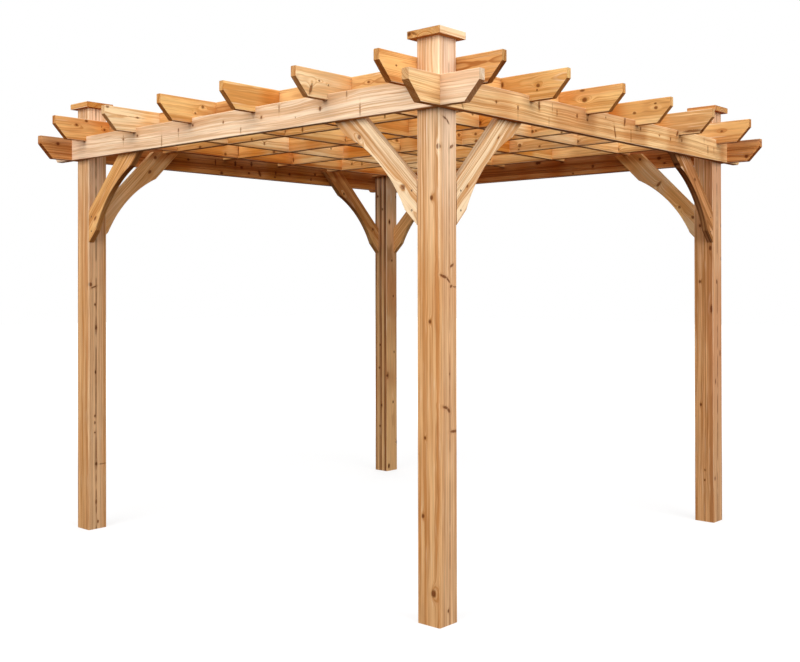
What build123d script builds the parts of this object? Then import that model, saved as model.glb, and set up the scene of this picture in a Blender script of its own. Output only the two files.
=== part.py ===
from build123d import *
import math
import os

# Free-standing square pergola of cedar boards, in millimetres.
# The origin is on the ground at the middle of the four posts, +Z up.
# Front is -Y, back is +Y, left is -X and right is +X.

# Posts, sawn from one piece, and how far they rise above the rafters
post_spacing = 2486.0
post_width = 114.0
post_height = 2343.0
post_rise = 71.0
post_ease = 6.0

# Flat caps on the post tops
cap_thickness = 30.0
cap_overhang = 28.0
cap_ease = 4.0

# Outer beams, against the outer faces of the posts
beam_depth = 121.0
beam_thickness = 35.0

# Rafters in two crossing layers, notched over the outer beams
rafter_count = 6
rafter_depth = 121.0
rafter_thickness = 30.0
rafter_lap = 26.0

# Tails of the beams and rafters: an upright nose, then a slope to the lower edge
tail_length = 189.0
nose_depth = 44.0
slope_run = 72.0

# Knee braces at 45 degrees, arched along the lower edge
brace_reach = 461.0
brace_width = 125.0
brace_thickness = 35.0
arch_chord = 466.0
arch_rise = 41.0

# Joinery, and the rounding of the planed boards' long edges
slot_clearance = 0.3
board_ease = 3.0
cut_overrun = 5.0

# Places that follow from the sizes above
half_spacing = post_spacing / 2
post_inner_face = half_spacing - post_width / 2
post_outer_face = half_spacing + post_width / 2
beam_middle = post_outer_face + beam_thickness / 2
board_half_length = post_outer_face + beam_thickness + tail_length
rafter_bottom = post_height - post_rise - rafter_depth
beam_bottom = rafter_bottom + rafter_lap - beam_depth
outer_rafter = post_inner_face - rafter_thickness / 2
rafter_pitch = 2 * outer_rafter / (rafter_count - 1)
rafter_places = [i * rafter_pitch - outer_rafter for i in range(rafter_count)]
beam_places = [-beam_middle, beam_middle]
quarter_turn = 90


def planed_board(depth, thickness):
    """A board along X with rounded long edges, its lower edge at the base plane and its thickness centred."""
    section = Pos(0, depth / 2) * RectangleRounded(thickness, depth, board_ease)
    return extrude(Plane.YZ * section, board_half_length, both=True)


def tail_waste(depth):
    """Side view of what is sawn off below the slope of each tail."""
    nose_bottom = depth - nose_depth
    rise = nose_bottom / slope_run * cut_overrun
    start = board_half_length - slope_run - cut_overrun
    end = board_half_length + cut_overrun
    waste = Polygon((start, -rise), (end, nose_bottom + rise), (end, -rise), align=None)
    return [waste, mirror(waste, Plane.YZ)]


def slots(places, crossing_thickness, low, high):
    """Side view of the slots where boards of that thickness cross, between two heights."""
    width = crossing_thickness + 2 * slot_clearance
    return [Pos(x, (low + high) / 2) * Rectangle(width, high - low) for x in places]


def halving(places, depth, crossing_thickness, from_top):
    """Side view of slots to half the board's depth, from its upper or lower edge."""
    if from_top:
        return slots(places, crossing_thickness, depth / 2, depth + cut_overrun)
    return slots(places, crossing_thickness, -cut_overrun, depth / 2)


def saw(board, thickness, side_views):
    """The board less everything drawn in the side views, cut through its thickness."""
    waste = Sketch() + side_views
    return board - extrude(Plane.XZ * waste, thickness / 2 + cut_overrun, both=True)


def beam(from_top):
    """An outer beam, halved at both corners to cross the beams of the next sides."""
    cuts = tail_waste(beam_depth) + halving(beam_places, beam_depth, beam_thickness, from_top)
    return saw(planed_board(beam_depth, beam_thickness), beam_thickness, cuts)


def rafter(from_top):
    """A rafter, halved at each crossing rafter and notched over the outer beams by the lap."""
    cuts = tail_waste(rafter_depth)
    cuts += halving(rafter_places, rafter_depth, rafter_thickness, from_top)
    cuts += slots(beam_places, beam_thickness, -cut_overrun, rafter_lap)
    return saw(planed_board(rafter_depth, rafter_thickness), rafter_thickness, cuts)


def post():
    """A post with rounded long corners."""
    return extrude(RectangleRounded(post_width, post_width, post_ease), post_height)


def post_cap():
    """A flat slab that overhangs the post, its upper edges eased."""
    width = post_width + 2 * cap_overhang
    slab = extrude(RectangleRounded(width, width, cap_ease), cap_thickness)
    return chamfer(slab.edges().group_by(Axis.Z)[-1], cap_ease / 2)


def brace():
    """
    A knee brace in side view, X from the post's inner face and Z from the beam's lower edge.
    Its plumb cut meets the post, its level cut meets the rafters' underside behind the beam.
    """
    diagonal = math.sqrt(2)
    upper_reach = brace_reach - brace_width * diagonal
    rise = rafter_bottom - beam_bottom
    middle = brace_reach / 2
    kink = arch_chord / 2 / diagonal
    crown = arch_rise / diagonal
    arch = ThreePointArc(
        (middle - kink, -middle - kink),
        (middle - crown, -middle + crown),
        (middle + kink, -middle + kink),
    )
    straight_edges = Polyline(
        arch @ 1,
        (brace_reach + rise, rise),
        (upper_reach + rise, rise),
        (0, -upper_reach),
        (0, -brace_reach),
        arch @ 0,
    )
    outline = make_face(arch + straight_edges)
    solid = extrude(Plane.XZ * outline, brace_thickness / 2, both=True)
    faces = solid.faces().sort_by(Axis.Y)
    rims = faces[0].edges() + faces[-1].edges()
    long_rims = rims.filter_by(Axis.X, reverse=True).filter_by(Axis.Z, reverse=True)
    return fillet(long_rims, board_ease)


def save(node, solid):
    """One file for each piece, under the piece's name."""
    export_step(solid, f"parts/{node}.step")


os.makedirs("parts", exist_ok=True)

# Posts and caps at the four corners
for depth_side, y in (("front", -half_spacing), ("back", half_spacing)):
    for width_side, x in (("left", -half_spacing), ("right", half_spacing)):
        save(f"{depth_side}_{width_side}_post", Pos(x, y, 0) * post())
        save(f"{depth_side}_{width_side}_post_cap", Pos(x, y, post_height) * post_cap())

# Outer beams: front and back are slotted from above, left and right from below
for side, y in (("front", -beam_middle), ("back", beam_middle)):
    save(f"{side}_beam", Pos(0, y, beam_bottom) * beam(from_top=True))
for side, x in (("left", -beam_middle), ("right", beam_middle)):
    save(f"{side}_beam", Pos(x, 0, beam_bottom) * Rot(0, 0, quarter_turn) * beam(from_top=False))

# Rafters run left to right, and the cross rafters drop over them from front to back
for number, place in enumerate(rafter_places, start=1):
    save(f"rafter_{number}", Pos(0, place, rafter_bottom) * rafter(from_top=True))
    turned = Rot(0, 0, quarter_turn) * rafter(from_top=False)
    save(f"cross_rafter_{number}", Pos(place, 0, rafter_bottom) * turned)

# Two braces under each beam, flush with the posts' outer faces
sides = ["front", "right", "back", "left"]
first_brace = Pos(-post_inner_face, brace_thickness / 2 - post_outer_face, beam_bottom) * brace()
second_brace = mirror(first_brace, Plane.YZ)
for turns, side in enumerate(sides):
    turn = Rot(0, 0, turns * quarter_turn)
    save(f"{side}_brace_{sides[turns - 1]}", turn * first_brace)
    save(f"{side}_brace_{sides[(turns + 1) % len(sides)]}", turn * second_brace)
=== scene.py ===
import math
import random
from types import SimpleNamespace

import bmesh
import bpy
from mathutils import Matrix, Vector


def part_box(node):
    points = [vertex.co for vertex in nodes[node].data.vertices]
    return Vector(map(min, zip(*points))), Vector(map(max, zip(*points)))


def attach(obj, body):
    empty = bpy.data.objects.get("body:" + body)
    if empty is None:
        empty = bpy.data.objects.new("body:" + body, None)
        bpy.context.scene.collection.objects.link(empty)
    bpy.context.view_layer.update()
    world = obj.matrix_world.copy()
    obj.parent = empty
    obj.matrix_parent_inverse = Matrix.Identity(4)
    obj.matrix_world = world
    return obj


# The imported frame: every node keeps its place and mesh, in metres, +Z up
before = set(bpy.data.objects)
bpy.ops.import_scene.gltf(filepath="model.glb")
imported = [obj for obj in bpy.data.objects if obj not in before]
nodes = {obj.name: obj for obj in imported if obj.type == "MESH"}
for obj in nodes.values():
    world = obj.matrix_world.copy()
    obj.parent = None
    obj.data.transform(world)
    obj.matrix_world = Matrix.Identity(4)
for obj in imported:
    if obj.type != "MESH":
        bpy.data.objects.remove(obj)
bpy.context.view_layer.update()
mm = 0.001

# Camera fitted to the photograph, in pixels of its frame: the optical axis meets the picture off its middle
picture_width, picture_height = 800, 662
focal_pixels = 1048.75
axis_pixel_x, axis_pixel_y = 371.27, 280.72
camera_place = Vector((-4.5325, -3.8952, 1.3517))
camera_yaw = math.radians(42.461)
camera_pitch = math.radians(0.276)
camera_roll = math.radians(-0.098)
sensor_width = 36.0


def camera_axes():
    """The camera's right, up and forward directions."""
    forward = Vector((math.cos(camera_yaw), math.sin(camera_yaw), math.tan(camera_pitch))).normalized()
    level_right = Vector((math.sin(camera_yaw), -math.cos(camera_yaw), 0.0))
    roll = Matrix.Rotation(camera_roll, 3, -forward)
    right = roll @ level_right
    return right, right.cross(forward), forward


def add_camera():
    data = bpy.data.cameras.new("camera")
    data.sensor_width = sensor_width
    data.lens = focal_pixels * sensor_width / picture_width
    data.shift_x = (picture_width / 2 - axis_pixel_x) / picture_width
    data.shift_y = (axis_pixel_y - picture_height / 2) / picture_width
    camera = bpy.data.objects.new("camera", data)
    right, up, forward = camera_axes()
    turn = Matrix((right, up, -forward)).transposed().to_4x4()
    camera.matrix_world = Matrix.Translation(camera_place) @ turn
    bpy.context.scene.collection.objects.link(camera)
    bpy.context.scene.camera = camera


add_camera()
bpy.context.scene.view_settings.view_transform = "Standard"


def srgb(red, green, blue):
    """A screen colour from 0 to 255, turned by the sRGB curve into the linear values that shaders use."""
    def linear(level):
        share = level / 255
        return share / 12.92 if share <= 0.04045 else ((share + 0.055) / 1.055) ** 2.4
    return (linear(red), linear(green), linear(blue), 1.0)


# Noise swings about this middle, and most of it has this detail
noise_middle = 0.5
noise_detail = 2.0


class Graph:
    """Short calls that add shader nodes to a tree and hand back their output sockets."""

    def __init__(self, tree):
        self.tree = tree

    def feed(self, socket, value):
        if isinstance(value, bpy.types.NodeSocket):
            self.tree.links.new(value, socket)
        else:
            socket.default_value = value

    def add(self, kind, inputs=None, output=0, **settings):
        node = self.tree.nodes.new(kind)
        for name, value in settings.items():
            setattr(node, name, value)
        for key, value in (inputs or {}).items():
            self.feed(node.inputs[key], value)
        return node.outputs[output]

    def group(self, tree, inputs):
        """Adds a node group and hands back all of its outputs."""
        node = self.tree.nodes.new("ShaderNodeGroup")
        node.node_tree = tree
        for key, value in inputs.items():
            self.feed(node.inputs[key], value)
        return node.outputs

    def math(self, operation, *values):
        return self.add("ShaderNodeMath", dict(enumerate(values)), operation=operation)

    def times(self, first, second):
        return self.math("MULTIPLY", first, second)

    def total(self, *values):
        result = values[0]
        for value in values[1:]:
            result = self.math("ADD", result, value)
        return result

    def weighted(self, values, levels):
        """The sum of the values, each times its level."""
        return self.total(*(self.times(value, level) for value, level in zip(values, levels)))

    def swing(self, value, level, middle=noise_middle):
        """The value's distance from a middle, times a level."""
        return self.times(self.math("SUBTRACT", value, middle), level)

    def rise(self, value, low, high):
        """0 below low, 1 above high and smooth between; a high under low gives a fall."""
        inputs = {"Value": value, "From Min": low, "From Max": high}
        return self.add("ShaderNodeMapRange", inputs, interpolation_type="SMOOTHSTEP")

    def vector(self, operation, *values, output="Vector"):
        return self.add("ShaderNodeVectorMath", dict(enumerate(values)), output, operation=operation)

    def length(self, vector):
        return self.vector("LENGTH", vector, output="Value")

    def dot(self, first, second):
        return self.vector("DOT_PRODUCT", first, second, output="Value")

    def scaled(self, vector, level):
        return self.add("ShaderNodeVectorMath", {0: vector, "Scale": level}, operation="SCALE")

    def combine(self, x, y, z):
        return self.add("ShaderNodeCombineXYZ", {0: x, 1: y, 2: z})

    def split(self, vector):
        node = self.tree.nodes.new("ShaderNodeSeparateXYZ")
        self.feed(node.inputs[0], vector)
        return node.outputs[0], node.outputs[1], node.outputs[2]

    def mapped(self, vector, place, turn, scale=(1.0, 1.0, 1.0)):
        """The vector in a frame with its own place, turn and scale."""
        inputs = {"Vector": vector, "Location": place, "Rotation": turn, "Scale": scale}
        return self.add("ShaderNodeMapping", inputs, vector_type="TEXTURE")

    def noise(self, vector, scale, detail=noise_detail, output="Fac"):
        inputs = {"Vector": vector, "Scale": scale, "Detail": detail}
        return self.add("ShaderNodeTexNoise", inputs, output)

    def noise_line(self, w, scale, detail=noise_detail):
        inputs = {"W": w, "Scale": scale, "Detail": detail}
        return self.add("ShaderNodeTexNoise", inputs, "Fac", noise_dimensions="1D")

    def drawn_noise(self, vector, stretch, detail=noise_detail, scale=1.0):
        """Noise with its own stretch on each axis: a small one draws it out."""
        return self.noise(self.vector("MULTIPLY", vector, stretch), scale, detail)

    def shake(self, vector, scale, level):
        """An offset by noise on each axis, times a level."""
        offset = self.noise(vector, scale, output="Color")
        return self.scaled(self.vector("SUBTRACT", offset, (noise_middle,) * 3), level)

    def mix(self, factor, first, second):
        inputs = {0: factor, 6: first, 7: second}
        return self.add("ShaderNodeMix", inputs, 2, data_type="RGBA")

    def tinted(self, factor, colour, tint):
        """The colour, mixed with itself times a tint."""
        return self.mix(factor, colour, self.vector("MULTIPLY", colour, tint))


def new_group(name, inputs, outputs):
    """An empty node group with its sockets, as a graph, the sockets given and the sockets to feed."""
    tree = bpy.data.node_groups.new(name, "ShaderNodeTree")
    for direction, sockets in (("INPUT", inputs), ("OUTPUT", outputs)):
        for socket, kind in sockets.items():
            tree.interface.new_socket(socket, in_out=direction, socket_type=f"NodeSocket{kind}")
    given = tree.nodes.new("NodeGroupInput").outputs
    wanted = tree.nodes.new("NodeGroupOutput").inputs
    return Graph(tree), given, wanted


def new_material(name):
    """A material with its first shader, and a graph on its tree."""
    material = bpy.data.materials.new(name)
    material.use_nodes = True
    return material, Graph(material.node_tree)


# Knots: how fast their push on the rings fades along, across and into the wood, in their own half-lengths,
# and the half-widths in metres between which they turn into thin spikes
push_fade = (0.36, 0.60, 0.9)
spike_widths = (0.006, 0.002)
spike_ratio = 1.15


def knot_group():
    """
    One knot as an ellipsoid: a ratio that is 1 at its edge, and how far it pushes the rings aside.
    Thin spikes keep a ratio over 1 to their middle, which leaves them paler.
    """
    inputs = {"Place": "Vector", "Centre": "Vector", "Turn": "Vector", "Size": "Vector"}
    g, given, wanted = new_group("knot", inputs, {"Ratio": "Float", "Push": "Float"})
    local = g.mapped(given["Place"], given["Centre"], given["Turn"], given["Size"])
    faded = g.vector("MULTIPLY", local, push_fade)
    flow = g.math("EXPONENT", g.times(g.dot(faded, faded), -1.0))
    length, width, _ = g.split(given["Size"])
    breadth = g.math("MINIMUM", length, width)
    spike = g.times(g.rise(breadth, *spike_widths), spike_ratio)
    g.feed(wanted["Ratio"], g.math("MAXIMUM", g.length(local), spike))
    g.feed(wanted["Push"], g.times(flow, breadth))
    return g.tree


# Cedar, as rings round a pith, in metres; boards with neighbouring seeds lie this far apart in the log
log_spacing = 3.7
pith_noise_scale = 0.9
ring_width = 0.0026
late_rise, late_fall = (0.45, 0.9), (1.0, 0.94)
waver_stretch, waver_scale, waver_level = (2.5, 1.0, 1.0), 3.0, 0.004
knot_push = 0.9

# Bands that show from a distance, patches, halos round knots and young wood by the pith
broad_scale, broad_detail, broad_level = 45.0, 1.0, 1.5
narrow_stretch, narrow_level = (1.5, 190.0, 0.0), 2.6
late_middle, late_level = 0.3, 0.3
patch_stretch, patch_level = (1.4, 9.0, 1.0), 0.8
halo_ratios, halo_level = (3.2, 0.8), 0.35
base_darkness = 0.4
darkness_range, red_range = (-0.2, 1.0), (0.5, 0.78)
young_radii, young_share, young_colour = (0.065, 0.025), 0.25, srgb(234, 202, 168)

# Fibres, strands and streaks along the grain, and the pith itself, which shows in stretches
fibre_stretch, fibre_detail, fibre_level = (7.0, 520.0, 520.0), 3.0, 0.24
strand_stretch, strand_level = (6.0, 150.0, 150.0), 0.5
streak_stretch, streak_share = (4.0, 230.0, 1.0), 0.45
dark_streaks, dark_streak_colour = (0.58, 0.72), srgb(168, 104, 54)
# The pale wood also serves as the painted highlight on arrises
pale_streaks, pale_wood_and_highlight = (0.40, 0.26), srgb(250, 226, 192)
heart_radii, heart_colour = (0.006, 0.002), srgb(112, 66, 34)
heart_scale, heart_range = 6.0, (0.35, 0.55)

# Painted light and shade: an uneven painted shade and light on the wood between the beams, where the roof's
# shade falls, a painted highlight on the upper parts of posts, painted shade on undersides, and darker end
# grain with painted shade on sloping sawn faces
roof_shade_edge = (1.34, 1.22)
roof_shade_scale, roof_shade_detail, roof_shade_range, least_roof_shade = 2.3, 1.0, (0.40, 0.60), 0.2
# Painted highlight, paler towards the tops of posts
top_light_rise, top_light_tint = (0.1, 1.1), (1.08, 1.30, 1.76)
# Painted shade on undersides
underside_shade_tint = (0.68, 0.42, 0.24)
# Darker end grain with painted shade on sloping sawn faces, which face down
slope_end_grain_and_shade_tint = (0.54, 0.37, 0.25)

# The knots' own wood and rims, and pale arrises, partly from handling and partly a painted highlight, which
# is weaker towards the feet of posts with a painted top highlight
core_ratios, knot_tint = (1.05, 0.7), (0.42, 0.29, 0.23)
knot_level, knot_ring_rate, knot_ring_level = 0.9, 19.0, 0.2
rim_rise, rim_fall, rim_tint, rim_share = (0.55, 0.95), (1.5, 1.0), (0.20, 0.12, 0.08), 0.5
wear_and_highlight_scale, wear_and_highlight_range = 1.3, (0.3, 0.6)
arris_fall, arris_range, arris_share = (0.5, -0.9), (1.0, 1.7), 0.6

# Roughness by fibres, sawn ends and knots, and height by fibres, late wood, knots and their rims
base_roughness, roughness_levels = 0.62, (0.2, 0.15, -0.2)
height_levels = (0.6, 0.5, 0.4, -0.5)

# Some inputs carry painted light and shade: a tint between the beams, a paler top on posts and darker
# undersides
cedar_inputs = {
    "Place": "Vector", "Half": "Vector", "Pith": "Vector", "Wander": "Float", "Seed": "Float",
    "Light": "Color", "Dark": "Color", "Red": "Color", "Contrast": "Float", "Stripe": "Float",
    "Knot": "Float", "Push": "Float", "Heart": "Float", "Arris": "Float", "Roof Light And Shade": "Color",
    "Top Light": "Float", "End": "Float", "Square": "Float", "Nose": "Color", "Underside Shade": "Float",
}
cedar_outputs = {"Colour": "Color", "Roughness": "Float", "Height": "Float"}


def pith_distance(g, given, wood):
    """Distance from a pith that wanders along the log."""
    log_line = g.combine(wood.log_along, given["Seed"], 0.0)
    _, wander_b, wander_c = g.split(g.shake(log_line, pith_noise_scale, given["Wander"]))
    _, pith_b, pith_c = g.split(given["Pith"])
    out_b = g.total(g.math("SUBTRACT", wood.across, pith_b), wander_b)
    out_c = g.total(g.math("SUBTRACT", wood.through, pith_c), wander_c)
    return g.length(g.combine(out_b, out_c, 0.0))


def ring_age(g, given, wood):
    """Distance from the pith as the rings show it: they waver, and bend round knots."""
    waver = g.swing(g.drawn_noise(wood.log_place, waver_stretch, scale=waver_scale), waver_level)
    pushed = g.times(given["Push"], knot_push)
    return g.total(g.math("SUBTRACT", wood.radius, pushed), waver)


def late_wood(g, age):
    """The dark outer part of each ring."""
    ring = g.math("FRACT", g.math("DIVIDE", age, ring_width))
    return g.times(g.rise(ring, *late_rise), g.rise(ring, *late_fall))


def banded(g, given, wood):
    """Pale and dark bands, with redder patches and paler young wood."""
    band_age = g.total(wood.age, given["Seed"])
    broad = g.noise_line(band_age, broad_scale, broad_detail)
    narrow = g.drawn_noise(g.combine(wood.log_along, band_age, 0.0), narrow_stretch)
    patches = g.drawn_noise(wood.log_place, patch_stretch)
    stripes = g.times(g.swing(broad, broad_level), given["Stripe"])
    bands = g.total(stripes, g.swing(narrow, narrow_level), g.swing(wood.late, late_level, late_middle))
    darkness = g.total(base_darkness, g.times(bands, given["Contrast"]), g.swing(patches, patch_level),
                       g.times(wood.halo, halo_level))
    colour = g.mix(g.rise(darkness, *darkness_range), given["Light"], given["Dark"])
    colour = g.mix(g.rise(patches, *red_range), colour, given["Red"])
    return g.mix(g.times(g.rise(wood.radius, *young_radii), young_share), colour, young_colour)


def fibred(g, given, wood, colour):
    """Fibres, dark and pale streaks along the grain, and the pith."""
    strand = g.drawn_noise(wood.log_place, strand_stretch)
    streak = g.drawn_noise(g.combine(wood.log_along, wood.age, given["Seed"]), streak_stretch)
    heart_shows = g.rise(g.noise_line(wood.log_along, heart_scale), *heart_range)
    heart = g.times(g.times(g.rise(wood.radius, *heart_radii), heart_shows), given["Heart"])
    colour = g.scaled(colour, g.total(1.0, g.swing(wood.fibre, fibre_level), g.swing(strand, strand_level)))
    colour = g.mix(heart, colour, heart_colour)
    colour = g.mix(g.times(g.rise(streak, *dark_streaks), streak_share), colour, dark_streak_colour)
    clear = g.math("SUBTRACT", streak_share, g.times(wood.halo, streak_share))
    return g.mix(g.times(g.rise(streak, *pale_streaks), clear), colour, pale_wood_and_highlight)


def painted_light_shade_and_ends(g, given, wood, colour):
    """Painted light and shade under the roof, a painted highlight on post tops, painted shade on undersides,
    and darker sawn ends with painted shade on the sloping ones.
    """
    # Uneven painted light and shade between the beams, where the roof's shade falls
    roof_shade_mask = g.rise(g.math("ABSOLUTE", wood.along), *roof_shade_edge)
    roof_shade_change = g.rise(g.noise_line(wood.log_along, roof_shade_scale, roof_shade_detail), *roof_shade_range)
    uneven_roof_shade = g.total(least_roof_shade, g.times(roof_shade_change, 1.0 - least_roof_shade))
    colour = g.tinted(g.times(roof_shade_mask, uneven_roof_shade), colour, given["Roof Light And Shade"])
    # Painted highlight towards the tops of posts
    colour = g.tinted(g.times(g.rise(wood.along, *top_light_rise), given["Top Light"]), colour, top_light_tint)
    # Painted shade on undersides
    colour = g.tinted(given["Underside Shade"], colour, underside_shade_tint)
    # Darker end grain, with painted shade on sloping sawn faces
    return g.tinted(given["End"], colour, g.mix(given["Square"], (*slope_end_grain_and_shade_tint, 1.0), given["Nose"]))


def knotted(g, given, wood, colour):
    """Knots with rings of their own and darker rims."""
    waves = g.math("SINE", g.times(given["Knot"], knot_ring_rate))
    rings = g.total(knot_level, g.times(waves, knot_ring_level))
    knot_colour = g.scaled(g.vector("MULTIPLY", colour, knot_tint), rings)
    rim_colour = g.vector("MULTIPLY", colour, rim_tint)
    colour = g.mix(wood.core, colour, knot_colour)
    return g.mix(g.times(wood.rim, rim_share), colour, rim_colour)


def pale_and_highlit_edges(g, given, wood):
    """The long edges, pale partly from handling and partly as a painted highlight."""
    _, half_b, half_c = g.split(given["Half"])
    edges = []
    for place, half in ((wood.across, half_b), (wood.through, half_c)):
        inward = g.math("SUBTRACT", half, g.math("ABSOLUTE", place))
        edges.append(g.rise(inward, given["Arris"], 0.0))
    wear_and_highlight = g.rise(g.noise_line(wood.log_along, wear_and_highlight_scale), *wear_and_highlight_range)
    # The painted highlight fades towards the feet of posts with a painted top highlight
    shaded = g.times(g.rise(wood.along, *arris_fall), given["Top Light"])
    kept = g.times(wear_and_highlight, g.math("SUBTRACT", 1.0, shaded))
    return g.times(g.rise(g.total(*edges), *arris_range), kept)


def wood_sockets(g, given):
    """What the steps of the cedar group share: places in the board and its log, rings, fibres and knots."""
    wood = SimpleNamespace()
    wood.along, wood.across, wood.through = g.split(given["Place"])
    wood.log_along = g.total(wood.along, g.times(given["Seed"], log_spacing))
    wood.log_place = g.combine(wood.log_along, wood.across, wood.through)
    wood.radius = pith_distance(g, given, wood)
    wood.age = ring_age(g, given, wood)
    wood.late = late_wood(g, wood.age)
    wood.fibre = g.drawn_noise(wood.log_place, fibre_stretch, fibre_detail)
    wood.halo = g.rise(given["Knot"], *halo_ratios)
    wood.core = g.rise(given["Knot"], *core_ratios)
    wood.rim = g.times(g.rise(given["Knot"], *rim_rise), g.rise(given["Knot"], *rim_fall))
    return wood


def cedar_group():
    """Cedar that is solid through the board: bands, fibres, painted light and shade, sawn ends, knots and
    pale arrises that are partly a painted highlight.
    """
    g, given, wanted = new_group("cedar", cedar_inputs, cedar_outputs)
    wood = wood_sockets(g, given)
    colour = fibred(g, given, wood, banded(g, given, wood))
    colour = knotted(g, given, wood, painted_light_shade_and_ends(g, given, wood, colour))
    # Pale arrises, partly wear and partly a painted highlight
    colour = g.mix(g.times(pale_and_highlit_edges(g, given, wood), arris_share), colour, pale_wood_and_highlight)
    roughness = g.total(base_roughness, g.weighted((wood.fibre, given["End"], wood.core), roughness_levels))
    height = g.weighted((wood.fibre, wood.late, wood.core, wood.rim), height_levels)
    g.feed(wanted["Colour"], colour)
    g.feed(wanted["Roughness"], roughness)
    g.feed(wanted["Height"], height)
    return g.tree


knot_tree = knot_group()
cedar_tree = cedar_group()


def frame_turn(grain, across):
    """The turn of a frame with its first axis along the grain and its second across it."""
    return Matrix((grain, across, grain.cross(across))).transposed().to_euler()


# Ragged knot edges in metres, ratio and push where there is no knot, and the wood's surface
ragged_scale, ragged_level = 110.0, 0.005
no_ratio, no_push = 9.0, 0.0
bump_strength, bump_distance = 0.5, 0.0008
wood_specular = 0.03

# How squarely a face looks along the grain to count as sawn, and as a square end, and how far down as an
# underside
sawn_facing, square_facing, under_facing = (0.3, 0.7), (0.8, 0.95), (-0.6, -0.9)


def knot_field(g, place, knots):
    """The least ratio and the greatest push of a board's knots at each place."""
    ragged_place = g.vector("ADD", place, g.shake(place, ragged_scale, ragged_level))
    ratio, push = no_ratio, no_push
    for centre, turn, size in knots:
        knot = g.group(knot_tree, {"Place": ragged_place, "Centre": centre, "Turn": turn, "Size": size})
        ratio = g.math("MINIMUM", knot["Ratio"], ratio)
        push = g.math("MAXIMUM", knot["Push"], push)
    return ratio, push


def cedar_material(name, centre, axes, half, choice, knots):
    """A board's own cedar: its place in the board's frame, and its own log, colours and knots."""
    grain, across = axes
    material, g = new_material(name)
    coords = g.tree.nodes.new("ShaderNodeTexCoord").outputs
    ratio, push = knot_field(g, coords["Object"], knots)
    facing = g.math("ABSOLUTE", g.dot(coords["Normal"], grain))
    _, _, upward = g.split(coords["Normal"])
    wood = g.group(cedar_tree, {
        "Place": g.mapped(coords["Object"], centre, frame_turn(grain, across)), "Half": half,
        "End": g.rise(facing, *sawn_facing), "Square": g.rise(facing, *square_facing),
        "Underside Shade": g.rise(upward, *under_facing), "Knot": ratio, "Push": push, **choice,
    })
    bump_inputs = {"Strength": bump_strength, "Distance": bump_distance, "Height": wood["Height"]}
    shader = g.tree.nodes["Principled BSDF"].inputs
    g.feed(shader["Base Color"], wood["Colour"])
    g.feed(shader["Roughness"], wood["Roughness"])
    g.feed(shader["Normal"], g.add("ShaderNodeBump", bump_inputs))
    g.feed(shader["Specular IOR Level"], wood_specular)
    return material


x_axis, y_axis, z_axis = Vector((1, 0, 0)), Vector((0, 1, 0)), Vector((0, 0, 1))

# The axis that each face in view looks along, from the low end of its node's box
face_axes = {"left": 0, "front": 1}


def on_face(node, face, pixel):
    """The point of a node's left or front face that a pixel of the photograph shows."""
    right, up, forward = camera_axes()
    ray = forward
    ray = ray + right * ((pixel[0] - axis_pixel_x) / focal_pixels)
    ray = ray - up * ((pixel[1] - axis_pixel_y) / focal_pixels)
    axis = face_axes[face]
    return camera_place + ray * ((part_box(node)[0][axis] - camera_place[axis]) / ray[axis])


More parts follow.
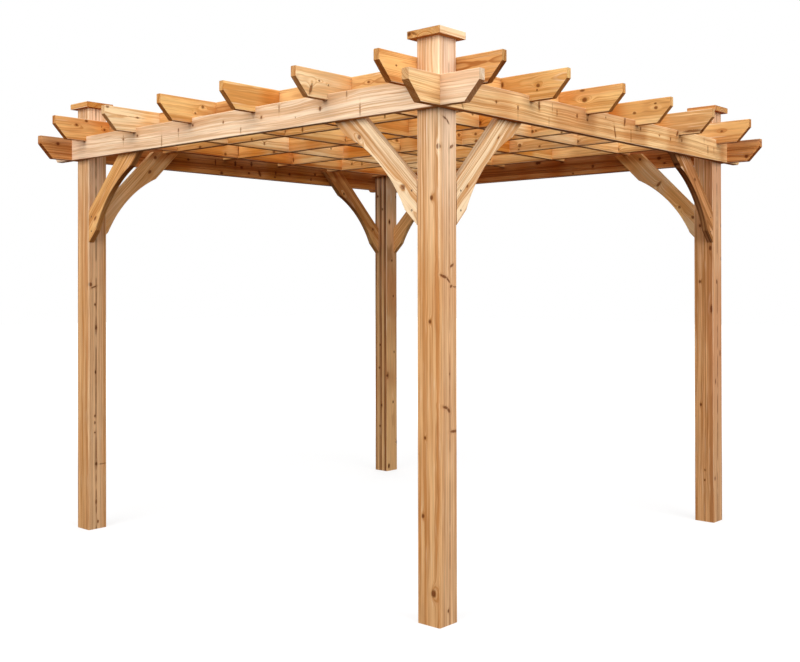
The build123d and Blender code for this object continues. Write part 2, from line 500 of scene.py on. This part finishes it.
# Knots seen in the photograph, by node and face: pixel, then half-lengths along and across the grain in
# millimetres, then a lean in degrees from the grain where there is one
seen_knots = {
    ("front_left_post", "left"): (
        (438, 146, 9, 8), (431.4, 197.8, 9, 7), (430, 321.6, 7, 6), (425, 438, 6, 5), (423, 516, 8, 6),
        (433.5, 593.7, 13, 10)),
    ("front_left_post", "front"): (
        (444.8, 117.8, 12, 4, -68), (447.6, 121.2, 12, 4, -43), (451.4, 146.6, 12, 5, 58),
        (451.8, 265.5, 11, 5, 62), (443.7, 276.4, 22, 5, -75), (448.2, 280, 14, 4, -48),
        (451, 286.3, 8, 5, 60), (454.6, 286.8, 3, 10), (449.7, 374, 5, 3), (445.6, 407.6, 15, 5, -75),
        (448.7, 410.4, 10, 6, -49), (453.7, 431.3, 5, 19), (448.3, 611, 6, 4)),
    ("back_left_post", "front"): (
        (90.5, 284.4, 10, 10), (94, 287, 4, 16, -20), (95, 304.5, 7, 5), (96.1, 327.4, 14, 6),
        (95.5, 372, 10, 4), (94.9, 416, 7, 5), (94.9, 422.7, 7, 5), (94.9, 432.5, 5, 4),
        (96.2, 463.8, 9, 7), (102, 463.6, 3, 16), (96.2, 501.8, 14, 5), (98, 521.5, 8, 5)),
    ("front_right_post", "left"): (
        (700, 225.6, 8, 6), (710.3, 248.1, 12, 7), (699.8, 281.6, 8, 7), (711.3, 308.9, 22, 6),
        (700.9, 404.5, 8, 6), (705, 470, 5, 4), (704.8, 480, 5, 4)),
    ("front_right_post", "front"): (
        (721, 225.7, 10, 6), (721, 258.7, 10, 6), (716.7, 281.6, 12, 7), (720, 353, 16, 6),
        (715.6, 381.4, 14, 5), (715.1, 478.4, 10, 6)),
    ("back_right_post", "left"): (
        (377.9, 196.4, 7, 6), (382.6, 209.3, 8, 5), (380.3, 344.8, 6, 5), (379.4, 367.6, 8, 7),
        (381.6, 405.1, 7, 5), (380, 425.8, 7, 6)),
    ("back_right_post", "front"): (
        (395.9, 197, 8, 6), (389.4, 221.9, 8, 6), (391.8, 260.5, 7, 6), (393.2, 296, 8, 6),
        (394.1, 351.8, 8, 6), (387.5, 375.5, 9, 8), (393.2, 401.8, 8, 6), (396.1, 442, 8, 5),
        (388.9, 465.8, 8, 7)),
    ("front_left_post_cap", "left"): ((409, 34, 9, 8), (414, 33.5, 14, 3, 25)),
    ("left_beam", "left"): (
        (84.5, 141.5, 8, 5), (123.3, 139.3, 6, 6), (123.3, 140, 2, 20), (137.4, 135.6, 7, 6),
        (161.6, 141, 3, 24), (178.4, 130.1, 5, 8), (178.4, 133, 2, 16), (192.7, 125.5, 7, 5),
        (223.2, 122.2, 4, 6), (240.7, 130.2, 3, 10), (261.3, 117.5, 6, 6), (279, 107.7, 3, 18),
        (295.4, 117.5, 3, 3), (320, 108.8, 6, 9), (346.6, 93, 3, 14), (360, 109.1, 3, 20),
        (370.5, 84.6, 5, 4)),
    ("front_beam", "front"): (
        (462.3, 104.4, 3, 16, 20), (496.3, 101.9, 6, 6), (518, 107.9, 5, 9), (518, 114.8, 2, 18),
        (539.2, 105.6, 7, 18), (552.4, 107.3, 2, 18), (557, 112.5, 3, 12), (577.1, 115.9, 6, 9),
        (587.4, 119.9, 6, 6), (549, 121.7, 2, 14), (605.8, 117.6, 4, 4), (615, 132, 5, 28, 15),
        (624.8, 121.1, 7, 22, -10), (631, 136, 3, 30), (640.7, 128.8, 5, 8), (659.4, 135.5, 5, 5),
        (670.5, 139.1, 5, 8), (677.3, 133.7, 7, 18, -30), (681.9, 140.7, 4, 8), (704.1, 139.7, 2, 18),
        (707.9, 149.4, 4, 20), (713.9, 149.4, 3, 16)),
    ("back_beam", "front"): (
        (58, 143.7, 9, 8), (188.3, 159.4, 8, 6), (215.5, 162, 4, 16), (235.3, 163.5, 7, 16),
        (251.5, 164.2, 8, 14), (259.7, 173.5, 8, 18, 25), (275.8, 173.2, 5, 10), (289.5, 174.2, 8, 7),
        (311, 179.5, 4, 9), (315, 174.8, 8, 7)),
    ("right_beam", "left"): (
        (746.4, 156.5, 10, 9), (592.8, 166.4, 8, 10), (539.2, 163, 9, 8), (573, 173.5, 8, 5),
        (664.5, 163.2, 7, 5)),
    ("rafter_1", "front"): ((396.4, 65.6, 5, 4),),
    ("rafter_2", "front"): (
        (310.8, 88.8, 7, 22, -20), (319.3, 80.8, 5, 4), (328.4, 85.3, 4, 4), (472.5, 114.4, 6, 5)),
    ("rafter_4", "front"): (
        (202.8, 107, 8, 7), (195.4, 113.3, 6, 5), (345.9, 140.4, 8, 7), (490, 159.4, 8, 6)),
    ("rafter_5", "front"): (
        (137.4, 117.7, 9, 4), (137.4, 117.7, 45, 2), (107.5, 106.3, 9, 7), (264.4, 143.4, 6, 9),
        (331, 148.6, 5, 6)),
    ("rafter_6", "front"): (
        (86.4, 120.9, 9, 7), (76.6, 124.7, 8, 6), (101.6, 126.9, 3, 5), (225.5, 154, 9, 8)),
    ("cross_rafter_2", "left"): (
        (538.1, 85.5, 8, 7), (536.9, 90.1, 4, 4), (502.5, 84.9, 6, 10), (285, 131.3, 5, 10),
        (302.5, 129.4, 5, 14), (384.8, 116.3, 5, 8)),
    ("cross_rafter_3", "left"): (
        (584.6, 99.9, 12, 10), (582.3, 90.7, 12, 5), (238.4, 151, 5, 24), (274, 152, 9, 8),
        (480, 123, 9, 9)),
    ("cross_rafter_4", "left"): (
        (634.5, 113.1, 9, 6), (655.9, 107.7, 9, 7), (655.3, 103.3, 7, 4), (293.5, 160, 4, 14),
        (400, 147.5, 4, 12), (475.6, 134, 8, 7), (532.5, 131.5, 8, 7)),
    ("cross_rafter_5", "left"): (
        (693, 131, 50, 6), (351.9, 163.8, 7, 7), (361.9, 163.8, 5, 11), (519.6, 145.5, 11, 9),
        (577.5, 141.5, 9, 8)),
    ("cross_rafter_6", "left"): ((721.7, 131.3, 8, 6), (618, 149.5, 10, 8)),
    ("left_brace_front", "left"): ((403.1, 187, 11, 9), (359.3, 137.2, 10, 8)),
    ("front_brace_left", "front"): ((498.5, 137.7, 8, 4), (467.4, 186.3, 8, 4)),
    ("left_brace_back", "left"): ((95.1, 218.3, 12, 6),),
    ("back_brace_left", "front"): (
        (103.8, 220.2, 9, 7), (98.7, 231.4, 7, 6), (155.3, 157.8, 10, 8), (149.8, 171.9, 12, 8)),
    ("front_brace_right", "front"): ((695, 179.4, 9, 7), (679.4, 164.4, 9, 8)),
    ("right_brace_front", "left"): (
        (679.4, 207.2, 8, 7), (692.8, 217.2, 9, 8), (658.9, 183.9, 8, 18), (640, 159.4, 8, 7)),
    ("back_brace_right", "front"): ((343.9, 193.9, 9, 8), (372.8, 229.4, 9, 8)),
}
board_knot_depth = 0.045
post_knot_depth = 0.012

# Knots by chance: shares of the half-width, sizes in millimetres, and their length over their width
chance_widths = (-0.9, 0.9)
chance_sizes = (4.0, 9.0)
chance_stretch = 1.2


def knots_seen(node, face, axes):
    """The knots that the photograph shows on one face of a node."""
    grain, across = axes
    depth = post_knot_depth if node.endswith("post") else board_knot_depth
    found = []
    for u, v, length, width, *lean in seen_knots.get((node, face), ()):
        tilt = Matrix.Rotation(math.radians(lean[0] if lean else 0.0), 3, grain.cross(across))
        turn = frame_turn(tilt @ grain, tilt @ across)
        found.append((on_face(node, face, (u, v)), turn, (length * mm, width * mm, depth)))
    return found


def knots_by_chance(draw, middle, axes, half, chance):
    """A few knots round a middle, between two shares of the half-length, as deep as chance says."""
    grain, across = axes
    count, reach, depth = chance
    found = []
    for _ in range(count):
        place = middle + grain * half[0] * draw.uniform(*reach)
        place = place + across * half[1] * draw.uniform(*chance_widths)
        size = draw.uniform(*chance_sizes) * mm
        found.append((place, frame_turn(grain, across), (size * chance_stretch, size, depth)))
    return found


# Colours of the boards: pale and dark grain, and the redder heartwood patches
tones = {
    "post": (srgb(232, 182, 128), srgb(192, 130, 74), srgb(204, 140, 86)),
    "dark_post": (srgb(226, 170, 116), srgb(182, 120, 68), srgb(198, 130, 80)),
    "streaky": (srgb(230, 180, 124), srgb(146, 93, 52), srgb(200, 138, 88)),
    "pale": (srgb(248, 220, 188), srgb(214, 170, 128), srgb(232, 192, 158)),
    "cream": (srgb(244, 214, 174), srgb(202, 146, 92), srgb(228, 182, 136)),
    "straw": (srgb(252, 222, 176), srgb(230, 184, 130), srgb(236, 192, 142)),
    "honey": (srgb(250, 208, 146), srgb(222, 166, 100), srgb(230, 176, 116)),
    "gold": (srgb(242, 204, 150), srgb(210, 156, 98), srgb(222, 170, 116)),
    "orange": (srgb(244, 196, 128), srgb(212, 150, 82), srgb(222, 158, 96)),
    "amber": (srgb(232, 178, 112), srgb(196, 130, 70), srgb(208, 140, 82)),
    "rust": (srgb(226, 162, 98), srgb(178, 108, 54), srgb(196, 120, 66)),
    "russet": (srgb(208, 152, 92), srgb(164, 102, 51), srgb(180, 113, 62)),
    "umber": (srgb(202, 142, 90), srgb(150, 97, 54), srgb(170, 111, 67)),
}

# Tints of painted light and shade on the wood between the beams, where the roof's shade falls: none, a paler
# one, three richer ones, and one for each of three beams.
# The braces take theirs over their whole length.
no_roof_tint = (1.0, 1.0, 1.0, 1.0)
bright_roof_light = (1.25, 1.46, 1.70, 1.0)
deep_roof_shade = (0.76, 0.44, 0.18, 1.0)
plain_roof_shade = (0.89, 0.60, 0.30, 1.0)
pale_roof_shade = (1.02, 0.84, 0.60, 1.0)
front_beam_roof_shade = (0.78, 0.64, 0.54, 1.0)
back_beam_roof_shade = (0.80, 0.70, 0.42, 1.0)
right_beam_roof_shade = (0.76, 0.54, 0.34, 1.0)

# Tints of the square sawn ends
board_nose = (0.74, 0.66, 0.60, 1.0)
pale_nose = (0.84, 0.90, 0.94, 1.0)
brown_nose = (0.63, 0.46, 0.32, 1.0)
cap_nose = (0.76, 0.60, 0.38, 1.0)


# A board's tint between the beams is painted light and shade, and a post's paler top is a painted highlight
def look(tone, pith, seed, wander=0.03, contrast=1.0, heart=0.75, arris=0.004, roof_light_and_shade=no_roof_tint,
         top_light=0.0, nose=board_nose, stripe=1.0):
    """The group's values for one board, in metres. Pith is across and through the board."""
    light, dark, red = tones[tone]
    return {"Light": light, "Dark": dark, "Red": red, "Pith": (0.0, *pith), "Seed": seed, "Wander": wander,
            "Contrast": contrast, "Heart": heart, "Arris": arris, "Roof Light And Shade": roof_light_and_shade, "Top Light": top_light,
            "Nose": nose, "Stripe": stripe}


# Knots by chance on one side of a node: count, two shares of the half-length, and depth, which is right
# through the boards. More than about 27 knots on one node are too many for the renderer.
board_chance = (7, (-0.8, 0.95), 1.0)
post_chance = (4, (-0.9, 0.9), post_knot_depth)


def dress(node, axes, faces, choice, hidden):
    """
    Gives a CAD node its own cedar, by its grain and across directions.
    Faces holds the same two directions for the knots of each face in view.
    Hidden holds them for knots by chance, after the side of the node's box that they grow from.
    """
    low, high = (Vector(corner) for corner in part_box(node))
    centre, size = (low + high) / 2, high - low
    grain, across = axes
    spans = (grain, across, grain.cross(across))
    half = [sum(abs(a * b) for a, b in zip(size, span)) / 2 for span in spans]
    knots = [knot for face, lines in faces.items() for knot in knots_seen(node, face, lines)]
    draw = random.Random(choice["Seed"])
    for side, lines, chance in hidden:
        middle = centre + Vector([a * b / 2 for a, b in zip(side, size)])
        knots += knots_by_chance(draw, middle, lines, half, chance)
    material = cedar_material(f"cedar_{node}", centre, axes, half, choice, knots)
    mesh = nodes[node].data
    mesh.materials.clear()
    mesh.materials.append(material)


# Posts and caps
post_axes = (z_axis, y_axis)
post_faces = {"left": post_axes, "front": (z_axis, x_axis)}
post_hidden = ((x_axis, post_axes, post_chance), (y_axis, (z_axis, x_axis), post_chance))
# Each post's paler top is a painted highlight, and its pale arrises are partly one
post_looks = {
    "front_left": look("post", pith=(-0.0535, -0.008), seed=3, wander=0.010, contrast=1.25, heart=0.45,
                       arris=0.007, top_light=1.0),
    "front_right": look("dark_post", pith=(-0.0565, 0.002), seed=4, wander=0.012, contrast=2.4, heart=0.9,
                        arris=0.006, top_light=0.4),
    "back_left": look("post", pith=(-0.0565, 0.011), seed=5, wander=0.010, contrast=1.8,
                      arris=0.006, top_light=0.6),
    "back_right": look("streaky", pith=(0.235, 0.03), seed=6, wander=0.002, contrast=1.2,
                       arris=0.007, top_light=1.0, stripe=3.5),
}
cap_faces = {"left": (y_axis, z_axis)}
cap_looks = {
    "front_left": (x_axis, "cream", cap_nose), "front_right": (y_axis, "rust", pale_nose),
    "back_left": (y_axis, "amber", cap_nose), "back_right": (y_axis, "rust", cap_nose)}
cap_pith, cap_seed = (-0.05, 0.01), 11
for number, (corner, post_look) in enumerate(post_looks.items()):
    dress(f"{corner}_post", post_axes, post_faces, post_look, post_hidden)
    cap_grain, tone, nose = cap_looks[corner]
    cap_look = look(tone, cap_pith, cap_seed + number, nose=nose)
    dress(f"{corner}_post_cap", (cap_grain, z_axis), cap_faces, cap_look, ())

# Outer beams
x_board = (x_axis, z_axis)
y_board = (y_axis, z_axis)
x_faces = {"front": x_board}
y_faces = {"left": y_board}
board_middle = Vector((0, 0, 0))
x_hidden = ((board_middle, x_board, board_chance),)
y_hidden = ((board_middle, y_board, board_chance),)
near_pith, near_wander = (0.07, 0.05), 0.07
far_pith, far_contrast = (0.08, 0.01), 2.2
left_look = look("pale", near_pith, seed=21, wander=near_wander, contrast=1.1, nose=pale_nose)
# The front, back and right beams' tints between the posts are painted shade
front_look = look("gold", near_pith, seed=22, wander=near_wander, contrast=1.8, roof_light_and_shade=front_beam_roof_shade)
back_look = look("rust", far_pith, seed=23, contrast=far_contrast, roof_light_and_shade=back_beam_roof_shade)
right_look = look("rust", far_pith, seed=24, contrast=far_contrast, roof_light_and_shade=right_beam_roof_shade)
dress("left_beam", y_board, y_faces, left_look, ())
dress("front_beam", x_board, x_faces, front_look, ())
dress("back_beam", x_board, x_faces, back_look, x_hidden)
dress("right_beam", y_board, y_faces, right_look, y_hidden)

# Rafters and cross rafters, in order from the front and from the left
# Each rafter's tint between the beams is painted light and shade
rafter_looks = (
    ("amber", no_roof_tint, pale_nose), ("straw", pale_roof_shade, brown_nose),
    ("orange", plain_roof_shade, board_nose), ("orange", no_roof_tint, board_nose),
    ("straw", pale_roof_shade, board_nose), ("amber", plain_roof_shade, board_nose))
cross_looks = (
    ("russet", bright_roof_light, pale_nose), ("orange", no_roof_tint, pale_nose),
    ("orange", plain_roof_shade, board_nose), ("honey", deep_roof_shade, board_nose),
    ("gold", pale_roof_shade, board_nose), ("amber", bright_roof_light, board_nose))
rafter_contrast = 2.0
rafter_pith, rafter_seed = (0.01, 0.09), 30
cross_pith, cross_seed = (0.02, 0.08), 40
for number, (tone, roof_light_and_shade, nose) in enumerate(rafter_looks, start=1):
    choice = look(tone, rafter_pith, rafter_seed + number, contrast=rafter_contrast,
                  roof_light_and_shade=roof_light_and_shade, nose=nose)
    dress(f"rafter_{number}", x_board, x_faces, choice, x_hidden)
for number, (tone, roof_light_and_shade, nose) in enumerate(cross_looks, start=1):
    choice = look(tone, cross_pith, cross_seed + number, contrast=rafter_contrast,
                  roof_light_and_shade=roof_light_and_shade, nose=nose)
    dress(f"cross_rafter_{number}", y_board, y_faces, choice, y_hidden)

# Braces, with the grain along them: up from the post and in under the beam
# Each brace's tint, over its whole length, is painted light and shade
brace_looks = {
    "front_brace_left": ("cream", no_roof_tint, 1.6), "left_brace_front": ("cream", no_roof_tint, 1.6),
    "front_brace_right": ("umber", no_roof_tint, 2.2), "right_brace_front": ("straw", pale_roof_shade, 3.2),
    "back_brace_left": ("straw", pale_roof_shade, 3.2), "right_brace_back": ("straw", pale_roof_shade, 3.2),
    "left_brace_back": ("amber", no_roof_tint, 1.6), "back_brace_right": ("amber", no_roof_tint, 2.2)}
brace_pith, brace_seed = (0.03, 0.07), 50
sides = ("front", "right", "back", "left")


def brace_ways():
    """Each brace, its side's turn about Z, and the way from its post to the middle of that side, 1 or -1."""
    for turns, side in enumerate(sides):
        spin = Matrix.Rotation(turns * math.pi / 2, 3, "Z")
        yield f"{side}_brace_{sides[turns - 1]}", spin, 1
        yield f"{side}_brace_{sides[(turns + 1) % len(sides)]}", spin, -1


for number, (node, spin, way) in enumerate(brace_ways()):
    inward = spin @ x_axis * way
    brace_axes = ((z_axis + inward).normalized(), (z_axis - inward).normalized())
    face = "front" if node.startswith(("front", "back")) else "left"
    tone, roof_light_and_shade, contrast = brace_looks[node]
    choice = look(tone, brace_pith, brace_seed + number, contrast=contrast, roof_light_and_shade=roof_light_and_shade)
    dress(node, brace_axes, {face: brace_axes}, choice, ())

# Screws that hold the braces to the posts, on the braces' outer faces, in metres
screw_radius = 0.0042
screw_top_share = 0.9
screw_proud = 0.0004
screw_sunk = 0.0015
drive_radii = (0.0019, 0.0013)
screw_points = 16
screw_from_post = 0.027
screw_drops = (0.320, 0.400)


def screw_head(mesh, place, outward):
    """A low round head with a star drive, its axis along outward."""
    turn = outward.to_track_quat("Z", "Y")

    def ring(radii, height):
        verts = []
        for number in range(screw_points):
            angle = 2 * math.pi * number / screw_points
            radius = radii[number % len(radii)]
            local = Vector((radius * math.cos(angle), radius * math.sin(angle), height))
            verts.append(mesh.verts.new(place + turn @ local))
        return verts

    rims = [
        ring((screw_radius,), -screw_sunk), ring((screw_radius,), screw_proud / 2),
        ring((screw_radius * screw_top_share,), screw_proud),
        ring(drive_radii, screw_proud), ring(drive_radii, -screw_sunk),
    ]
    for lower, upper in zip(rims, rims[1:]):
        for number in range(screw_points):
            after = (number + 1) % screw_points
            mesh.faces.new((lower[number], lower[after], upper[after], upper[number]))
    mesh.faces.new(rims[-1])


def brace_screws():
    """All screw heads as one piece."""
    post_inner = -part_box("front_left_post")[1][0]
    brace_outer = -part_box("front_brace_left")[0][1]
    beam_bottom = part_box("front_beam")[0][2]
    heads = bmesh.new()
    for _, spin, way in brace_ways():
        for drop in screw_drops:
            along = -way * (post_inner - screw_from_post)
            screw_head(heads, spin @ Vector((along, -brace_outer, beam_bottom - drop)), spin @ -y_axis)
    mesh = bpy.data.meshes.new("brace_screws")
    heads.to_mesh(mesh)
    heads.free()
    piece = bpy.data.objects.new("brace_screws", mesh)
    bpy.context.scene.collection.objects.link(piece)
    return piece


# Coated steel, in metres: its fine grain, and where the coat is rubbed
coat_scale, coat_detail = 900.0, 3.0
coat_pale, coat_dark = srgb(46, 34, 26), srgb(32, 24, 18)
rubbed_scale, rubbed_range, rubbed_colour = 300.0, (0.55, 0.75), srgb(70, 54, 40)
coat_roughness, coat_roughness_level = 0.5, 0.3
coat_specular = 0.2
coat_bump_strength, coat_bump_distance = 0.3, 0.0002


def coated_steel():
    """Dark coated steel, its coat rubbed thin in places."""
    material, g = new_material("coated_steel")
    place = g.add("ShaderNodeTexCoord", output="Object")
    grain = g.noise(place, coat_scale, coat_detail)
    rubbed = g.rise(g.noise(place, rubbed_scale), *rubbed_range)
    coat = g.mix(grain, coat_pale, coat_dark)
    bump_inputs = {"Strength": coat_bump_strength, "Distance": coat_bump_distance, "Height": grain}
    shader = g.tree.nodes["Principled BSDF"].inputs
    g.feed(shader["Base Color"], g.mix(rubbed, coat, rubbed_colour))
    g.feed(shader["Roughness"], g.total(coat_roughness, g.times(grain, coat_roughness_level)))
    g.feed(shader["Normal"], g.add("ShaderNodeBump", bump_inputs))
    g.feed(shader["Specular IOR Level"], coat_specular)
    return material


screws = brace_screws()
screws.data.materials.append(coated_steel())
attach(screws, "root")

# Pale floor, in metres; its glow rises to white away from the object, where no shadow falls
floor_half = 30.0
glow_reach = (2.5, 6.0)
least_glow = 0.74
floor_white = (0.26, 0.26, 0.26, 1.0)
floor_bounce = (0.035, 0.022, 0.014, 1.0)
full_white = (1.0, 1.0, 1.0, 1.0)
floor_mesh = bpy.data.meshes.new("floor")
floor_corners = [(x * floor_half, y * floor_half, 0.0) for x, y in ((-1, -1), (1, -1), (1, 1), (-1, 1))]
floor_mesh.from_pydata(floor_corners, [], [(0, 1, 2, 3)])
floor = bpy.data.objects.new("floor", floor_mesh)
bpy.context.scene.collection.objects.link(floor)


def seen_directly(g):
    """1 for what the eye, a gloss or a glass shows, 0 for light that bounces."""
    path = g.tree.nodes.new("ShaderNodeLightPath").outputs
    mirrored = g.math("MAXIMUM", path["Is Glossy Ray"], path["Is Transmission Ray"])
    return g.math("MAXIMUM", path["Is Camera Ray"], mirrored)


def floor_material():
    """White to the eye with a faint shadow of the object, and dim as a source of bounced light."""
    material, g = new_material("floor")
    g.tree.nodes.clear()
    place = g.add("ShaderNodeTexCoord", output="Object")
    away = g.rise(g.length(place), *glow_reach)
    glow_level = g.total(least_glow, g.times(away, 1.0 - least_glow))
    white = g.add("ShaderNodeBsdfDiffuse", {"Color": floor_white})
    glow = g.add("ShaderNodeEmission", {"Color": full_white, "Strength": glow_level})
    shown = g.add("ShaderNodeAddShader", {0: white, 1: glow})
    bounce = g.add("ShaderNodeBsdfDiffuse", {"Color": floor_bounce})
    surface = g.add("ShaderNodeMixShader", {0: seen_directly(g), 1: bounce, 2: shown})
    g.feed(g.tree.nodes.new("ShaderNodeOutputMaterial").inputs["Surface"], surface)
    return material


floor_mesh.materials.append(floor_material())

# Soft light: bright from above, with a large soft box before each of the two sides in view and a weaker one
# behind
horizon_level = 0.26
zenith_level = 0.78
sky_rise = (-0.05, 1.0)


def studio_world():
    """White to the eye; as light, bright from above and dim from the horizon and below."""
    world = bpy.data.worlds.new("studio")
    world.use_nodes = True
    tree = world.node_tree
    tree.nodes.clear()
    g = Graph(tree)
    _, _, up = g.split(g.add("ShaderNodeTexCoord", output="Generated"))
    level = g.total(horizon_level, g.times(g.rise(up, *sky_rise), zenith_level - horizon_level))
    light = g.add("ShaderNodeBackground", {"Color": full_white, "Strength": level})
    white = g.add("ShaderNodeBackground", {"Color": full_white, "Strength": 1.0})
    mixed = g.add("ShaderNodeMixShader", {0: seen_directly(g), 1: light, 2: white})
    g.feed(tree.nodes.new("ShaderNodeOutputWorld").inputs["Surface"], mixed)
    return world


bpy.context.scene.world = studio_world()
aim = Vector((0.0, 0.0, 1.6))
box_size = 5.0
side_power, back_power = 360.0, 150.0


def soft_box(name, place, power):
    """A square area light aimed at the middle of the object."""
    data = bpy.data.lights.new(name, "AREA")
    data.size = box_size
    data.energy = power
    lamp = bpy.data.objects.new(name, data)
    lamp.location = place
    lamp.rotation_euler = (aim - Vector(place)).to_track_quat("-Z", "Y").to_euler()
    bpy.context.scene.collection.objects.link(lamp)


soft_box("left_box", (-6.6, -0.6, 4.2), side_power)
soft_box("front_box", (-0.6, -6.6, 4.2), side_power)
soft_box("back_box", (5.0, 5.0, 4.6), back_power)
